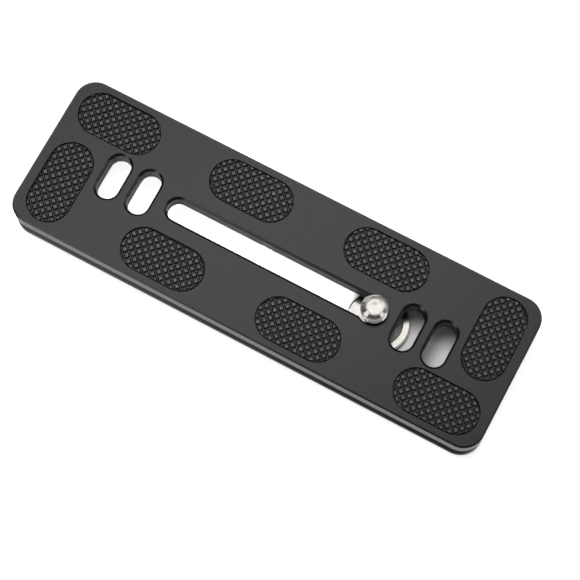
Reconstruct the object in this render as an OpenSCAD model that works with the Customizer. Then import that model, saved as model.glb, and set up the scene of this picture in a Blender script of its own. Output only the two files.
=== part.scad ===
// Long quick release plate for a tripod clamp, with a captive camera screw.
// The origin is on the surface that the plate lies on, under the middle of the plate.
// X runs along the plate, Y across it and Z up, out of the face that the camera sits on.

/* [Plate] */
// Length of the plate
plate_l = 120; // [116:1:160]
// Width of the plate across the dovetail
plate_w = 38; // [37:0.5:44]
// Height of the plate
plate_h = 9.5; // [9:0.25:12]
// Radius of the four upright corners
corner_r = 5; // [3:0.5:8]
// Chamfer round the upper face
edge_chamfer = 0.4; // [0.2:0.1:1]
// Chamfer round the foot
foot_chamfer = 0.4; // [0.2:0.1:0.8]

/* [Dovetail] */
// Height of the lip under the slope
lip_h = 1.5; // [1.2:0.1:2]
// Depth of the groove from the side of the plate
groove_d = 3; // [2:0.25:3.5]
// Thickness of the upper flange over the groove
flange_t = 4; // [3:0.25:4.5]

/* [Channel] */
// Width of the channel under the plate
channel_w = 16; // [15.5:0.5:17]
// Thickness of the web over the channel
web_t = 4; // [3.5:0.25:4.25]
// Radius in the channel's upper corners
channel_r = 0.6; // [0.3:0.1:1]
// Chamfer at the channel's mouth
mouth_chamfer = 0.4; // [0.2:0.1:0.8]

/* [Slots] */
// Width of all the slots
slot_w = 5.3; // [5.1:0.1:5.8]
// Chamfer round the slots' upper edge
slot_chamfer = 0.55; // [0.55:0.05:0.8]
// Length of a cross slot from end to end
cross_slot_l = 11; // [8:0.5:13]
// Distance from the plate's end to the middle of the outer cross slot
cross_slot_margin = 18; // [17.5:0.25:19]
// Distance between the two cross slots of a pair
cross_slot_pitch = 8; // [7:0.5:9]
// Width of the bridge between the long slot and a cross slot
slot_bridge = 3.7; // [2.5:0.1:6]
// Gap round the thread in the entry bore at the long slot's end
entry_gap = 0.125; // [0.1:0.025:0.3]
// Chamfer round the entry bore
entry_chamfer = 0.45; // [0.4:0.05:0.6]

/* [Rubber pads] */
// Width of a pad, which is also twice the radius of its ends
pad_w = 10.2; // [9:0.1:10.6]
// Distance across the plate between a pad that stands across the end and the row beside it
pad_spacing = 3.6; // [2.5:0.1:5]
// Thickness of a pad from its back to the tops of its studs
pad_t = 1.4; // [1.1:0.05:1.6]
// Gap between a pad and the wall of its pocket
pad_gap = 0.25; // [0.1:0.05:0.3]
// Chamfer round a pad's upper edge
pad_chamfer = 0.15; // [0.1:0.05:0.3]
// Depth of the pockets
pocket_d = 1.2; // [1:0.05:1.4]
// Distance from the plate's side to the near side of the pads
pad_side_margin = 2; // [1.6:0.05:2.2]
// Distance from the plate's end to the near side of the pads
pad_end_margin = 2.7; // [2:0.05:3]

/* [Pad studs] */
// Distance between the studs of a pad, along their rows
stud_pitch = 1.48; // [1.46:0.02:2]
// Side of a stud's square top
stud_top = 0.7; // [0.6:0.05:0.9]
// Side of a stud's square foot
stud_foot = 1.4; // [1:0.05:1.45]
// Height of a stud
stud_h = 0.6; // [0.3:0.05:0.7]

/* [Camera screw] */
// Diameter of the thread
thread_d = 6.35; // [6.2:0.05:6.4]
// Height of the screw's tip over the upper face
tip_h = 3.6; // [3:0.1:6]
// Height of the chamfer at the tip
tip_chamfer = 1.15; // [0.4:0.05:1.3]
// Height of the thread's lower end over the upper face
thread_lift = 0.15; // [0.1:0.05:0.5]
// Gap between the neck and the slot's side
neck_gap = 0.2; // [0.1:0.05:0.4]
// Gap between the disc that tightens on the web and the channel's side
disc_side_gap = 2; // [1:0.1:2.4]
// Thickness of the disc
disc_t = 1.1; // [0.9:0.05:1.4]
// Chamfer round the disc
disc_chamfer = 0.3; // [0.1:0.05:0.4]
// Diameter of the hub that carries the ring
hub_d = 8.4; // [7.5:0.1:9]
// Height of the hub under the disc
hub_h = 2.4; // [2.3:0.05:2.6]
// Distance that the neck stays off the end of the entry bore
end_gap = 0.35; // [0.3:0.05:0.6]

/* [Ring] */
// Diameter of the ring's wire
wire_d = 1.8; // [1.6:0.1:1.9]
// Thickness of the ring's bow, where the wire is pressed flat
bow_t = 1.2; // [1:0.1:1.4]
// Gap between the ring and the channel's side
ring_side_gap = 1.1; // [0.6:0.1:1.4]
// Length of the straight stretch between a bend and the bow
ring_straight = 0.3; // [0.1:0.1:1.5]
// Inner radius of the ring's two bends
bend_r = 0.6; // [0.4:0.1:1]
// Gap round the wire in the hub's cross bore
pivot_gap = 0.06; // [0.04:0.01:0.08]
// Gap between the wire's two ends inside the hub
wire_ends_gap = 0.8; // [0.4:0.1:1.5]

/* [Hidden] */

// Faces of the round forms
$fn = 64;
// Overrun of every cutter
over = 1;

plate_colour = "#3b3b3d";
rubber_colour = "#232427";
steel_colour = "#c9c6c0";

// Heights of the dovetail
slope_top = lip_h + groove_d;
groove_top = plate_h - flange_t;
channel_top = plate_h - web_t;

// Places of the inner cross slots and of the long slot's two end centres
cross_slot_x = plate_l / 2 - cross_slot_margin - cross_slot_pitch;
long_slot_end = cross_slot_x - slot_w - slot_bridge;

// A pad is as long as the width leaves beside a row
pad_l = plate_w - 2 * pad_side_margin - pad_w - pad_spacing;
// A row has three pads and then the one across the end, with equal gaps between them
row_gap = (plate_l - 2 * pad_end_margin - 3 * pad_l - pad_w) / 3;
pad_pitch = pad_l + row_gap;

// Places of the pads, and whether they stand across the plate
row_y = plate_w / 2 - pad_side_margin - pad_w / 2;
row_x = plate_l / 2 - pad_end_margin - pad_l / 2;
end_x = plate_l / 2 - pad_end_margin - pad_w / 2;
end_y = plate_w / 2 - pad_side_margin - pad_l / 2;
pad_places = [
    [-row_x, row_y, false],
    [-row_x + pad_pitch, row_y, false],
    [-row_x + 2 * pad_pitch, row_y, false],
    [end_x, end_y, true],
    [row_x, -row_y, false],
    [row_x - pad_pitch, -row_y, false],
    [row_x - 2 * pad_pitch, -row_y, false],
    [-end_x, -end_y, true]
];
// Each pad is cut from one studded sheet, so its studs start at their own place
stud_offset_shares = [
    [0.3, 0.15],
    [0.45, -0.22],
    [0.05, -0.43],
    [0.17, 0.22],
    [0.3, 0.24],
    [-0.26, -0.4],
    [-0.18, 0.07],
    [0.39, 0.01]
];
pad_floor = plate_h - pocket_d;

// Place and heights of the camera screw, which stands on the same surface as the plate
neck_d = slot_w - 2 * neck_gap;
entry_d = thread_d + 2 * entry_gap;
screw_x = long_slot_end + entry_d / 2 - neck_d / 2 - end_gap;
disc_d = channel_w - 2 * disc_side_gap;
disc_top = hub_h + disc_t;
thread_foot = plate_h + thread_lift;
tip_z = plate_h + tip_h;
tip_r = thread_d / 2 - tip_chamfer;

// Place of the ring's pivot and of its bow
ring_z = hub_h / 2;
bow_r = channel_w / 2 - ring_side_gap - wire_d / 2;
bend_centre_r = bend_r + wire_d / 2;
bow_x = bend_centre_r + ring_straight;

// Flat shape with two straight sides and two round ends, along X
module stadium(length, width) {
    straight = length - width;
    square([straight, width], center = true);
    for (side = [-1, 1])
        translate([side * straight / 2, 0])
            circle(d = width);
}

// Solid whose stadium outline grows evenly from foot to head
module flared_stadium(length, width, height, growth) {
    straight = length - width;
    for (side = [-1, 1])
        translate([side * straight / 2, 0, 0])
            cylinder(h = height, d1 = width, d2 = width + 2 * growth);
    rotate([90, 0, 90])
        linear_extrude(height = straight, center = true)
            polygon([[-width / 2, 0], [width / 2, 0],
                     [width / 2 + growth, height], [-width / 2 - growth, height]]);
}

// Outline of the plate's block over half its breadth, from foot to head
function block_outline(half) = [
    [0, 0],
    [half - foot_chamfer, 0],
    [half, foot_chamfer],
    [half, plate_h - edge_chamfer],
    [half - edge_chamfer, plate_h],
    [0, plate_h]
];

// Block with upright round corners and both rims chamfered
module block() {
    for (x = [-1, 1], y = [-1, 1])
        translate([x * (plate_l / 2 - corner_r), y * (plate_w / 2 - corner_r), 0])
            rotate_extrude()
                polygon(block_outline(corner_r));
    rotate([90, 0, 90])
        linear_extrude(height = plate_l - 2 * corner_r, center = true)
            for (side = [0, 1])
                mirror([side, 0])
                    polygon(block_outline(plate_w / 2));
    rotate([90, 0, 0])
        linear_extrude(height = plate_w - 2 * corner_r, center = true)
            for (side = [0, 1])
                mirror([side, 0])
                    polygon(block_outline(plate_l / 2));
}

// Groove along one long side: the slope that the clamp's jaw pulls on, and the wall behind it
module dovetail_groove() {
    rotate([90, 0, 90])
        linear_extrude(height = plate_l + 2 * over, center = true)
            polygon([[plate_w / 2, lip_h],
                     [plate_w / 2 - groove_d, slope_top],
                     [plate_w / 2 - groove_d, groove_top],
                     [plate_w / 2 + over, groove_top],
                     [plate_w / 2 + over, lip_h]]);
}

// Open channel under the plate, where the screw's head slides
module channel_cut() {
    rotate([90, 0, 90])
        linear_extrude(height = plate_l + 2 * over, center = true) {
            translate([-channel_w / 2, -over])
                square([channel_w, channel_top - channel_r + over]);
            translate([-channel_w / 2 + channel_r, -over])
                square([channel_w - 2 * channel_r, channel_top + over]);
            for (side = [-1, 1])
                translate([side * (channel_w / 2 - channel_r), channel_top - channel_r])
                    circle(r = channel_r);
            polygon([[-channel_w / 2 - mouth_chamfer - over, -over],
                     [-channel_w / 2, mouth_chamfer],
                     [channel_w / 2, mouth_chamfer],
                     [channel_w / 2 + mouth_chamfer + over, -over]]);
        }
}

// Slot through the web, with its upper edge chamfered, along X
module slot_cut(length) {
    translate([0, 0, channel_top - over])
        linear_extrude(height = web_t + 2 * over)
            stadium(length, slot_w);
    translate([0, 0, plate_h - slot_chamfer])
        flared_stadium(length, slot_w, slot_chamfer + over, slot_chamfer + over);
}

// Bore at the long slot's end, a little wider than the screw's thread
module entry_cut() {
    translate([long_slot_end, 0, channel_top - over])
        cylinder(h = web_t + 2 * over, d = entry_d);
    translate([long_slot_end, 0, plate_h - entry_chamfer])
        cylinder(h = entry_chamfer + over, d1 = entry_d, d2 = entry_d + 2 * (entry_chamfer + over));
}

// Puts a pad or its pocket at its place
module at_pad_place(place) {
    across = place[2];
    translate([place.x, place.y, pad_floor])
        rotate([0, 0, across ? 90 : 0])
            children();
}

// Pocket that a pad is glued into
module pocket_cut(place) {
    at_pad_place(place)
        linear_extrude(height = pocket_d + over)
            stadium(pad_l + 2 * pad_gap, pad_w + 2 * pad_gap);
}

module plate() {
    color(plate_colour)
        difference() {
            block();
            for (side = [0, 1])
                mirror([0, side, 0])
                    dovetail_groove();
            channel_cut();
            slot_cut(2 * long_slot_end + slot_w);
            entry_cut();
            for (x = [0, cross_slot_pitch], side = [-1, 1])
                translate([side * (cross_slot_x + x), 0, 0])
                    rotate([0, 0, 90])
                        slot_cut(cross_slot_l);
            for (place = pad_places)
                pocket_cut(place);
        }
}

// Parallel grooves between the studs' rows, as long as the pad, with the rows at an angle
module stud_grooves(angle, shift) {
    rows = ceil(pad_l / stud_pitch / 2) + 1;
    top_half = (stud_pitch - stud_top) / 2;
    floor_half = (stud_pitch - stud_foot) / 2;
    widening = (top_half - floor_half) * over / stud_h;
    rotate([0, 0, angle])
        translate([0, 0, pad_t - stud_h])
            rotate([90, 0, 0])
                linear_extrude(height = pad_l + pad_w, center = true)
                    for (row = [-rows : rows])
                        translate([(row + 0.5) * stud_pitch + shift, 0])
                            polygon([[-floor_half, 0], [floor_half, 0],
                                     [top_half + widening, stud_h + over],
                                     [-top_half - widening, stud_h + over]]);
}

// Pad with a square grid of studs that stands at 45 degrees to its sides
module pad(number) {
    shift = stud_offset_shares[number] * stud_pitch;
    color(rubber_colour)
        at_pad_place(pad_places[number])
            difference() {
                union() {
                    linear_extrude(height = pad_t - pad_chamfer)
                        stadium(pad_l, pad_w);
                    translate([0, 0, pad_t - pad_chamfer])
                        flared_stadium(pad_l, pad_w, pad_chamfer, -pad_chamfer);
                }
                stud_grooves(45, (shift.x + shift.y) / sqrt(2));
                stud_grooves(-45, (shift.x - shift.y) / sqrt(2));
            }
}

// Turned screw: hub, disc, neck and thread
module camera_screw() {
    color(steel_colour)
        translate([screw_x, 0, 0])
            difference() {
                rotate_extrude()
                    polygon([[0, 0],
                             [hub_d / 2 - disc_chamfer, 0],
                             [hub_d / 2, disc_chamfer],
                             [hub_d / 2, hub_h],
                             [disc_d / 2 - disc_chamfer, hub_h],
                             [disc_d / 2, hub_h + disc_chamfer],
                             [disc_d / 2, disc_top - disc_chamfer],
                             [disc_d / 2 - disc_chamfer, disc_top],
                             [neck_d / 2, disc_top],
                             [neck_d / 2, thread_foot],
                             [thread_d / 2, thread_foot],
                             [thread_d / 2, tip_z - tip_chamfer],
                             [tip_r, tip_z],
                             [0, tip_z]]);
                translate([0, 0, ring_z])
                    rotate([90, 0, 0])
                        cylinder(h = hub_d + 2 * over, d = wire_d + 2 * pivot_gap, center = true);
            }
}

// Section of the wire where it is pressed flat
module pressed_wire() {
    intersection() {
        circle(d = wire_d);
        square([wire_d, bow_t], center = true);
    }
}

// Half of the ring, from its end inside the hub to the middle of its bow
module half_ring() {
    arm = bow_r - bend_centre_r;
    translate([0, wire_ends_gap / 2, 0])
        rotate([-90, 0, 0])
            cylinder(h = arm - wire_ends_gap / 2, d = wire_d);
    translate([bend_centre_r, arm, 0])
        rotate([0, 0, 90])
            rotate_extrude(angle = 90)
                translate([bend_centre_r, 0])
                    circle(d = wire_d);
    translate([bend_centre_r, bow_r, 0])
        rotate([90, 0, 90])
            linear_extrude(height = ring_straight)
                pressed_wire();
    translate([bow_x, 0, 0])
        rotate_extrude(angle = 90)
            translate([bow_r, 0])
                pressed_wire();
}

module pull_ring() {
    color(steel_colour)
        translate([screw_x, 0, ring_z])
            for (side = [0, 1])
                mirror([0, side, 0])
                    half_ring();
}

plate();
pad(0);  // rubber_pad_1
pad(1);  // rubber_pad_2
pad(2);  // rubber_pad_3
pad(3);  // rubber_pad_4
pad(4);  // rubber_pad_5
pad(5);  // rubber_pad_6
pad(6);  // rubber_pad_7
pad(7);  // rubber_pad_8
camera_screw();
pull_ring();
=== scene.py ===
import math

import bmesh
import bpy
from mathutils import Matrix, Vector


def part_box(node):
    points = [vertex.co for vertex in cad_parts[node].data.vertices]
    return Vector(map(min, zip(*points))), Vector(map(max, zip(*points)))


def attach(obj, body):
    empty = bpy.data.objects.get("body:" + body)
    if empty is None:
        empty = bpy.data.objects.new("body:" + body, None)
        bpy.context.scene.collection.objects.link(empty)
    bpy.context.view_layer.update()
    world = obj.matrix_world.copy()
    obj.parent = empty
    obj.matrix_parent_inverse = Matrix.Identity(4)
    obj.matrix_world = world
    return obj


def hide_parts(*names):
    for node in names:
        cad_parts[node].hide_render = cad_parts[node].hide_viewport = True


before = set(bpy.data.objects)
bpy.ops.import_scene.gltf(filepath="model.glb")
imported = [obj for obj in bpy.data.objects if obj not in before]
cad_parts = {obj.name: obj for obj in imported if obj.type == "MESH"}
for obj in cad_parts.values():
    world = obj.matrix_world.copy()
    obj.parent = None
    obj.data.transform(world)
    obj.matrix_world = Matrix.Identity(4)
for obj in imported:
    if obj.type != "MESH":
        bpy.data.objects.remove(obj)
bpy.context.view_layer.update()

# Looks of a long quick release plate for a tripod clamp, with a captive camera screw.
# Everything is in metres in the frame of the part: X along the plate, Y across it, Z up.

MM = 0.001


# Camera, which looks down on the plate as the photograph does

CAMERA_PLACE = Vector((61.45, -99.05, 402.92)) * MM
# Three rows: where the picture's right, its upper edge and the way back to the camera point
CAMERA_TURN = Matrix(((0.88083, 0.47334, -0.00941),
                      (-0.45392, 0.85002, 0.26725),
                      (0.1345, -0.23113, 0.96358)))
LENS = 112.43
SENSOR = 36
CLIP_NEAR = 10 * MM
CLIP_FAR = 20


def make_camera():
    data = bpy.data.cameras.new("camera")
    data.lens = LENS
    data.sensor_width = SENSOR
    data.clip_start = CLIP_NEAR
    data.clip_end = CLIP_FAR
    camera = bpy.data.objects.new("camera", data)
    camera.matrix_world = Matrix.Translation(CAMERA_PLACE) @ CAMERA_TURN.transposed().to_4x4()
    bpy.context.scene.collection.objects.link(camera)
    bpy.context.scene.camera = camera


# Studio: a white table that glows round the part, a pale room that darkens towards its walls,
# soft boxes, and narrow lights on the table where it shows through the slots

FLOOR_HALF = 2.0
FLOOR_DROP = 0.03 * MM
PLATE_CORNER_R = 5 * MM
# How strongly the table glows at that distance beyond the outline of the plate
# The glow is painted light: it is strongest close to the plate, where it fills in the plate's
# shadow on the table.
TABLE_GLOW = ((-2.5 * MM, 0), (-1 * MM, 0.76), (12 * MM, 0.76), (35 * MM, 0.42))

# Strength of the room below the lower and above the higher of two heights of view
ROOM_LOW = 0.03
ROOM_HIGH = 0.35
ROOM_LOW_AT = 0.1
ROOM_HIGH_AT = 0.85

BACK_PLACE = (-0.185, 0.245, 0.95)
BACK_SIZE = (0.6, 0.35)
# Name, place, size and power of each soft box, and what it lights.
# The bright metal has its own, dimmer ones, because it would only show white in the others.
SOFT_BOXES = (
    ("back_box", BACK_PLACE, BACK_SIZE, 2.9, "black"),
    ("back_box_on_table", (-0.185, 0.185, 0.95), (0.6, 0.45), 6, "table"),
    ("back_box_on_metal", BACK_PLACE, BACK_SIZE, 0.52, "metal"),
    ("front_box", (-0.42, -0.95, 0.25), (0.5, 0.3), 2.6, "black"),
    ("right_edge_box", (0.85, 0.55, 0.3), (0.7, 0.35), 2.5, "black"),
    ("left_edge_box", (-0.85, 0.55, 0.3), (0.7, 0.35), 2.5, "black"),
    ("right_box_on_metal", (0.88, -0.08, 0.46), (0.5, 0.75), 1.2, "metal"),
    ("left_box_on_metal", (-0.46, -0.76, 0.46), (0.5, 0.75), 1.2, "metal"),
    ("far_box_on_metal", (-0.46, 0.85, 0.25), (0.9, 0.45), 0.9, "metal"),
)

# Places along the slots that the narrow lights aim at
SLOT_LIGHT_AIMS = (-38 * MM, -14.5 * MM, 8.2 * MM)
SLOT_LIGHT_SPREAD = math.radians(3.5)
SLOT_LIGHT_BLEND = 0.1
SLOT_LIGHT_RADIUS = MM
SLOT_LIGHT_POWER = 7.8


def new_object(name, data):
    made = bpy.data.objects.new(name, data)
    bpy.context.scene.collection.objects.link(made)
    return made


def aim_at(light, place, aim):
    light.location = place
    light.rotation_euler = (Vector(aim) - Vector(place)).to_track_quat("-Z", "Y").to_euler()


def shine_only_on(light, pieces):
    lit = bpy.data.collections.new(light.name + "_lights")
    for piece in pieces:
        lit.objects.link(piece)
    light.light_linking.receiver_collection = lit


def make_floor():
    mesh = bpy.data.meshes.new("floor")
    corners = [(x * FLOOR_HALF, y * FLOOR_HALF, -FLOOR_DROP)
               for x, y in ((-1, -1), (1, -1), (1, 1), (-1, 1))]
    mesh.from_pydata(corners, [], [(0, 1, 2, 3)])
    floor = new_object("floor", mesh)
    floor.data.materials.append(floor_material())
    return floor


def make_room():
    """A white room that is brightest overhead."""
    world = bpy.data.worlds.new("room")
    world.use_nodes = True
    nodes, links = world.node_tree.nodes, world.node_tree.links
    background = nodes["Background"]
    background.inputs["Color"].default_value = (1, 1, 1, 1)
    direction = nodes.new("ShaderNodeTexCoord").outputs["Generated"]
    split = nodes.new("ShaderNodeSeparateXYZ")
    fall = nodes.new("ShaderNodeMapRange")
    links.new(direction, split.inputs["Vector"])
    links.new(split.outputs["Z"], fall.inputs["Value"])
    fall.inputs["From Min"].default_value = ROOM_LOW_AT
    fall.inputs["From Max"].default_value = ROOM_HIGH_AT
    fall.inputs["To Min"].default_value = ROOM_LOW
    fall.inputs["To Max"].default_value = ROOM_HIGH
    links.new(fall.outputs["Result"], background.inputs["Strength"])
    bpy.context.scene.world = world


def light_slots(floor):
    """Narrow lights from the camera's place, which keep the table white in the slots."""
    for number, aim_x in enumerate(SLOT_LIGHT_AIMS):
        name = f"slot_light_{number + 1}"
        light = new_object(name, bpy.data.lights.new(name, "SPOT"))
        light.data.energy = SLOT_LIGHT_POWER
        light.data.spot_size = SLOT_LIGHT_SPREAD
        light.data.spot_blend = SLOT_LIGHT_BLEND
        light.data.shadow_soft_size = SLOT_LIGHT_RADIUS
        aim_at(light, CAMERA_PLACE, (aim_x, 0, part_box("plate")[1].z))
        shine_only_on(light, [floor])


def place_soft_boxes(pieces):
    """The soft boxes, each of which only lights its own kind of pieces."""
    for name, place, size, power, kind in SOFT_BOXES:
        data = bpy.data.lights.new(name, "AREA")
        data.shape = "RECTANGLE"
        data.size, data.size_y = size
        data.energy = power
        light = new_object(name, data)
        aim_at(light, place, (0, 0, 0))
        shine_only_on(light, pieces[kind])


def show_plain_colours():
    view = bpy.context.scene.view_settings
    view.view_transform = "Standard"
    view.look = "None"


# Materials

# The wave texture at a scale of one has this many metres from one ring to the next
WAVE_SCALE_OF_ONE = math.pi / 10
WAVE_WAVER = 0.4
NOISE_ROUGHNESS = 0.55
# Most of the noise lies between the first two, and colours change between the others
NOISE_LOW = 0.25
NOISE_HIGH = 0.75
BLEND_LOW = 0.3
BLEND_HIGH = 0.7

TABLE_ROUGHNESS = 0.6
TABLE_TONES = ((0.88, 0.88, 0.88), (0.9, 0.9, 0.9))

ANODISED_TONES = ((0.005, 0.005, 0.005), (0.006, 0.006, 0.006))
ANODISED_ROUGHNESS = (0.28, 0.36)
ANODISED_IOR = 1.45
ANODISED_SHINE = 0.35
BLAST_SIZE = 0.12 * MM
BLAST_DEPTH = 0.004 * MM
# How far under the upper face the milled walls begin, and are fully dull
MILLED_FROM = 0.5 * MM
MILLED_FULLY = 0.9 * MM
# How much rougher they are within the slots, which lie nearer to the middle, and outside
SLOT_DULLNESS = 0.16
EDGE_DULLNESS = 0.04
SLOTS_WITHIN = 10 * MM
EDGES_BEYOND = 11 * MM

RUBBER_TONES = ((0.0187, 0.0193, 0.0212), (0.0267, 0.0274, 0.0299))
RUBBER_ROUGHNESS = (0.28, 0.44)
RUBBER_IOR = 1.5
RUBBER_SHINE = 0.61
RUBBER_TINT = (0.95, 0.963, 1, 1)
RUBBER_GRAIN = 0.16 * MM
RUBBER_GRAIN_DEPTH = 0.012 * MM

NICKEL_TONES = ((0.79, 0.755, 0.7), (0.88, 0.85, 0.8))
NICKEL_ROUGHNESS = (0.12, 0.2)
NICKEL_GRAIN = 0.3 * MM
NICKEL_GRAIN_DEPTH = 0.002 * MM
TURNING_PITCH = 0.16 * MM
TURNING_DEPTH = 0.002 * MM


class Finish:
    """A node material with short ways to make its nodes."""

    def __init__(self, name):
        self.material = bpy.data.materials.new(name)
        self.material.use_nodes = True
        self.tree = self.material.node_tree
        self.shader = self.tree.nodes["Principled BSDF"]
        self.place = self.node("ShaderNodeTexCoord").outputs["Object"]

    def node(self, kind, **settings):
        made = self.tree.nodes.new(kind)
        for name, value in settings.items():
            setattr(made, name, value)
        return made

    def link(self, source, target):
        self.tree.links.new(source, target)

    def set(self, **values):
        for name, value in values.items():
            self.shader.inputs[name.replace("_", " ")].default_value = value

    def use(self, name, output):
        self.link(output, self.shader.inputs[name])

    def axes(self):
        """The place along the object's own X, Y and Z."""
        made = self.node("ShaderNodeSeparateXYZ")
        self.link(self.place, made.inputs["Vector"])
        return made.outputs

    def noise(self, size, detail=3):
        """Noise whose grains are about that size, from 0 to 1."""
        made = self.node("ShaderNodeTexNoise")
        made.inputs["Scale"].default_value = 1 / size
        made.inputs["Detail"].default_value = detail
        made.inputs["Roughness"].default_value = NOISE_ROUGHNESS
        self.link(self.place, made.inputs["Vector"])
        return made.outputs["Fac"]

    def lathe_rings(self, pitch):
        """Rings round the object's own Z axis."""
        made = self.node("ShaderNodeTexWave", wave_type="RINGS", rings_direction="Z")
        made.inputs["Scale"].default_value = WAVE_SCALE_OF_ONE / pitch
        made.inputs["Distortion"].default_value = WAVE_WAVER
        self.link(self.place, made.inputs["Vector"])
        return made.outputs["Fac"]

    def maths(self, operation, *values):
        made = self.node("ShaderNodeMath", operation=operation)
        for number, value in enumerate(values):
            if isinstance(value, (int, float)):
                made.inputs[number].default_value = value
            else:
                self.link(value, made.inputs[number])
        return made.outputs["Value"]

    def between(self, value, start, end, low, high):
        """Runs from low to high while the value runs from start to end."""
        made = self.node("ShaderNodeMapRange")
        made.inputs["From Min"].default_value = start
        made.inputs["From Max"].default_value = end
        made.inputs["To Min"].default_value = low
        made.inputs["To Max"].default_value = high
        self.link(value, made.inputs["Value"])
        return made.outputs["Result"]

    def span(self, noise, low, high):
        """Stretches noise to run from low to high."""
        return self.between(noise, NOISE_LOW, NOISE_HIGH, low, high)

    def blend(self, noise, dark, light):
        """Colour between two others."""
        ramp = self.node("ShaderNodeValToRGB")
        ramp.color_ramp.elements[0].position = BLEND_LOW
        ramp.color_ramp.elements[1].position = BLEND_HIGH
        ramp.color_ramp.elements[0].color = (*dark, 1)
        ramp.color_ramp.elements[1].color = (*light, 1)
        self.link(noise, ramp.inputs["Fac"])
        return ramp.outputs["Color"]

    def bump(self, height, depth, before=None):
        """Relief of that depth, on top of the relief before."""
        made = self.node("ShaderNodeBump")
        made.inputs["Distance"].default_value = depth
        made.inputs["Strength"].default_value = 1
        self.link(height, made.inputs["Height"])
        if before:
            self.link(before, made.inputs["Normal"])
        return made.outputs["Normal"]


def floor_material():
    """White table with a painted glow beside the part, strongest close to it where it fills in
    the part's shadow, and none under it.
    """
    finish = Finish("white_table")
    finish.set(Roughness=TABLE_ROUGHNESS, Emission_Color=(1, 1, 1, 1))
    finish.use("Base Color", finish.blend(finish.noise(40 * MM), *TABLE_TONES))
    axes = finish.axes()
    # Distance from the rectangle that joins the centres of the plate's corners
    beyond = []
    for axis, half in zip("XY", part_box("plate")[1]):
        along = finish.maths("ABSOLUTE", axes[axis])
        past = finish.maths("MAXIMUM", finish.maths("SUBTRACT", along, half - PLATE_CORNER_R), 0)
        beyond.append(finish.maths("MULTIPLY", past, past))
    from_centres = finish.maths("SQRT", finish.maths("ADD", *beyond))
    distance = finish.maths("SUBTRACT", from_centres, PLATE_CORNER_R)
    strength = 0
    for (nearer, before), (farther, after) in zip(TABLE_GLOW, TABLE_GLOW[1:]):
        if after != before:
            change = finish.between(distance, nearer, farther, 0, after - before)
            strength = finish.maths("ADD", strength, change)
    # Painted light: the table's glow round the plate's outline, which fills in the plate's
    # shadow.
    finish.use("Emission Strength", strength)
    return finish.material


def anodised_material():
    """Black anodised aluminium, blasted with fine beads, with duller milled walls."""
    finish = Finish("anodised_aluminium")
    finish.set(IOR=ANODISED_IOR)
    finish.use("Base Color", finish.blend(finish.noise(9 * MM, detail=4), *ANODISED_TONES))
    axes = finish.axes()
    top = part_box("plate")[1].z
    milled = finish.between(axes["Z"], top - MILLED_FULLY, top - MILLED_FROM, 1, 0)
    from_middle = finish.maths("ABSOLUTE", axes["Y"])
    dullness = finish.between(from_middle, SLOTS_WITHIN, EDGES_BEYOND,
                              SLOT_DULLNESS, EDGE_DULLNESS)
    dullness = finish.maths("MULTIPLY", milled, dullness)
    grain = finish.span(finish.noise(0.5 * MM), *ANODISED_ROUGHNESS)
    finish.use("Roughness", finish.maths("ADD", grain, dullness))
    less_shine = finish.maths("MULTIPLY", dullness, 0.5)
    finish.use("Specular IOR Level", finish.maths("SUBTRACT", ANODISED_SHINE, less_shine))
    finish.use("Normal", finish.bump(finish.noise(BLAST_SIZE, detail=2), BLAST_DEPTH))
    return finish.material


def rubber_material():
    """Moulded black rubber with a slight bluish bloom."""
    finish = Finish("pad_rubber")
    finish.set(IOR=RUBBER_IOR, Specular_IOR_Level=RUBBER_SHINE, Specular_Tint=RUBBER_TINT)
    mottle = finish.noise(1.6 * MM, detail=2)
    finish.use("Base Color", finish.blend(mottle, *RUBBER_TONES))
    finish.use("Roughness", finish.span(mottle, *RUBBER_ROUGHNESS))
    finish.use("Normal", finish.bump(finish.noise(RUBBER_GRAIN), RUBBER_GRAIN_DEPTH))
    return finish.material


def nickel_material(name, turned):
    """Bright nickel over steel, which keeps the lathe's fine rings where it was turned."""
    finish = Finish(name)
    finish.set(Metallic=1.0)
    finish.use("Base Color", finish.blend(finish.noise(1.2 * MM), *NICKEL_TONES))
    finish.use("Roughness", finish.span(finish.noise(0.4 * MM), *NICKEL_ROUGHNESS))
    relief = finish.bump(finish.noise(NICKEL_GRAIN, detail=2), NICKEL_GRAIN_DEPTH)
    if turned:
        relief = finish.bump(finish.lathe_rings(TURNING_PITCH), TURNING_DEPTH, relief)
    finish.use("Normal", relief)
    return finish.material


# Camera screw with its real thread, on the place and sizes of the solid one

screw_low, screw_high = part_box("camera_screw")
screw_place = Vector(((screw_low.x + screw_high.x) / 2, 0, 0))
AROUND = 120
TIP_Z = screw_high.z
DISC_R = (screw_high.x - screw_low.x) / 2
DISC_T = 1.1 * MM
HUB_R = 4.2 * MM
HUB_H = 2.4 * MM
HUB_CHAMFER = 0.3 * MM
NECK_R = 2.45 * MM
THREAD_R = 3.175 * MM
THREAD_FOOT = 9.65 * MM
THREAD_PITCH = 1.27 * MM
THREAD_DEPTH = 0.66 * MM
THREAD_ROWS = 84
# Shares of the pitch from the middle of the crest to its edge, and to the edge of the root
CREST_EDGE = 0.0625
ROOT_EDGE = 0.375
FOOT_CHAMFER = 0.5 * MM
TIP_R = 2.025 * MM
TIP_CHAMFER = 1.15 * MM
# Radius and depth of the turned tip face, from its edge to the middle
TIP_FACE = [(r * MM, depth * MM) for r, depth in
            ((1.85, 0), (1.78, 0.03), (1.7, 0.03), (1.0, 0.02), (0.8, 0.035), (0.5, 0.05),
             (0.2, 0.055))]
BORE_R = 0.96 * MM
BORE_Z = HUB_H / 2
BORE_SIDES = 48
SHARP_FROM = math.radians(35)


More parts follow.
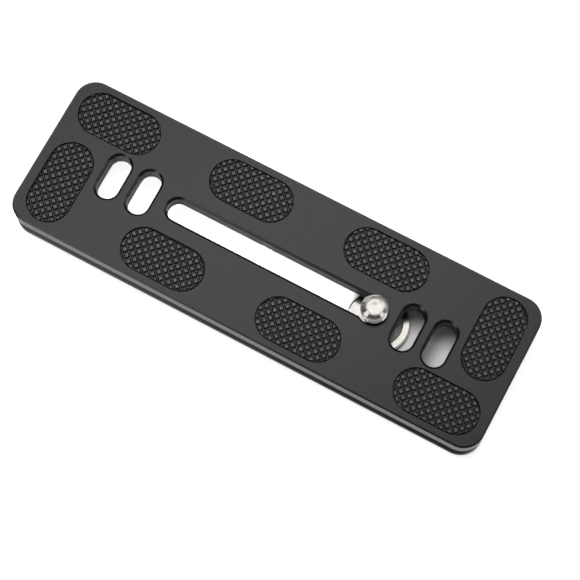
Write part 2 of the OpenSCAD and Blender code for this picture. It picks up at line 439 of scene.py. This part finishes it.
def thread_radius(angle, z):
    """Radius of the thread, with its crest and root flats and both ends chamfered."""
    phase = ((z - THREAD_FOOT) / THREAD_PITCH - angle / (2 * math.pi)) % 1
    flank = (ROOT_EDGE - abs(phase - 0.5)) / (ROOT_EDGE - CREST_EDGE)
    share = min(1, max(0, flank))
    share = share * share * (3 - 2 * share)
    turned = THREAD_R - THREAD_DEPTH * (1 - share)
    at_tip = TIP_R + (THREAD_R - TIP_R) * (TIP_Z - z) / TIP_CHAMFER
    at_foot = NECK_R + (THREAD_R - NECK_R) * (z - THREAD_FOOT) / FOOT_CHAMFER
    return min(turned, at_tip, at_foot)


def screw_rows():
    """Rings of the screw from foot to tip, with a radius and a height for every angle."""
    disc_top = HUB_H + DISC_T
    plain = [(HUB_CHAMFER, 0), (HUB_R - HUB_CHAMFER, 0), (HUB_R, HUB_CHAMFER), (HUB_R, HUB_H)]
    plain += [(DISC_R - HUB_CHAMFER, HUB_H), (DISC_R, HUB_H + HUB_CHAMFER)]
    plain += [(DISC_R, disc_top - HUB_CHAMFER), (DISC_R - HUB_CHAMFER, disc_top)]
    plain += [(NECK_R, disc_top), (NECK_R, THREAD_FOOT)]
    rows = [[(r, z)] * AROUND for r, z in plain]
    for row in range(THREAD_ROWS + 1):
        z = THREAD_FOOT + (TIP_Z - THREAD_FOOT) * row / THREAD_ROWS
        rows.append([(thread_radius(2 * math.pi * k / AROUND, z), z) for k in range(AROUND)])
    rows += [[(r, TIP_Z - depth)] * AROUND for r, depth in TIP_FACE]
    return rows


def drill_hub(screw):
    """Takes the cross bore of the pull ring out of the hub."""
    across = Matrix.Translation((0, 0, BORE_Z)) @ Matrix.Rotation(math.pi / 2, 4, "X")
    drill = bpy.data.meshes.new("drill")
    shape = bmesh.new()
    bmesh.ops.create_cone(shape, cap_ends=True, segments=BORE_SIDES, radius1=BORE_R,
                          radius2=BORE_R, depth=2 * HUB_R + MM, matrix=across)
    shape.to_mesh(drill)
    shape.free()
    cutter = new_object("drill", drill)
    cut = screw.modifiers.new("bore", "BOOLEAN")
    cut.object = cutter
    cut.solver = "EXACT"
    seen = screw.evaluated_get(bpy.context.evaluated_depsgraph_get())
    screw.data = bpy.data.meshes.new_from_object(seen)
    screw.modifiers.clear()
    bpy.data.objects.remove(cutter)


def make_screw():
    rows = screw_rows()
    points, faces = [], []
    for row in rows:
        for k, (r, z) in enumerate(row):
            angle = 2 * math.pi * k / AROUND
            points.append((r * math.cos(angle), r * math.sin(angle), z))
    for row in range(len(rows) - 1):
        for k in range(AROUND):
            a, b = row * AROUND + k, row * AROUND + (k + 1) % AROUND
            faces.append((a, b, b + AROUND, a + AROUND))
    faces.append(tuple(range(AROUND))[::-1])
    last = (len(rows) - 1) * AROUND
    faces.append(tuple(range(last, last + AROUND)))
    mesh = bpy.data.meshes.new("turned_screw")
    mesh.from_pydata(points, [], faces)
    screw = new_object("threaded_screw", mesh)
    drill_hub(screw)
    screw.location = screw_place
    screw.data.materials.append(nickel_material("turned_nickel", turned=True))
    screw.data.shade_smooth()
    screw.data.set_sharp_from_angle(angle=SHARP_FROM)
    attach(screw, "screw_body")
    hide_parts("camera_screw")
    return screw


def dress(name, material):
    """Gives a CAD node its finish."""
    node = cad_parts[name]
    if not node.data.materials:
        node.data.materials.append(material)
    for slot in node.material_slots:
        slot.material = material
    return node


make_camera()
floor = make_floor()
make_room()
light_slots(floor)
show_plain_colours()
screw = make_screw()
plate = dress("plate", anodised_material())
rubber = rubber_material()
pads = [dress(name, rubber) for name in sorted(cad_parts) if name.startswith("rubber_pad")]
ring = dress("pull_ring", nickel_material("drawn_nickel", turned=False))
place_soft_boxes({"black": [plate, *pads], "metal": [screw, ring], "table": [floor]})
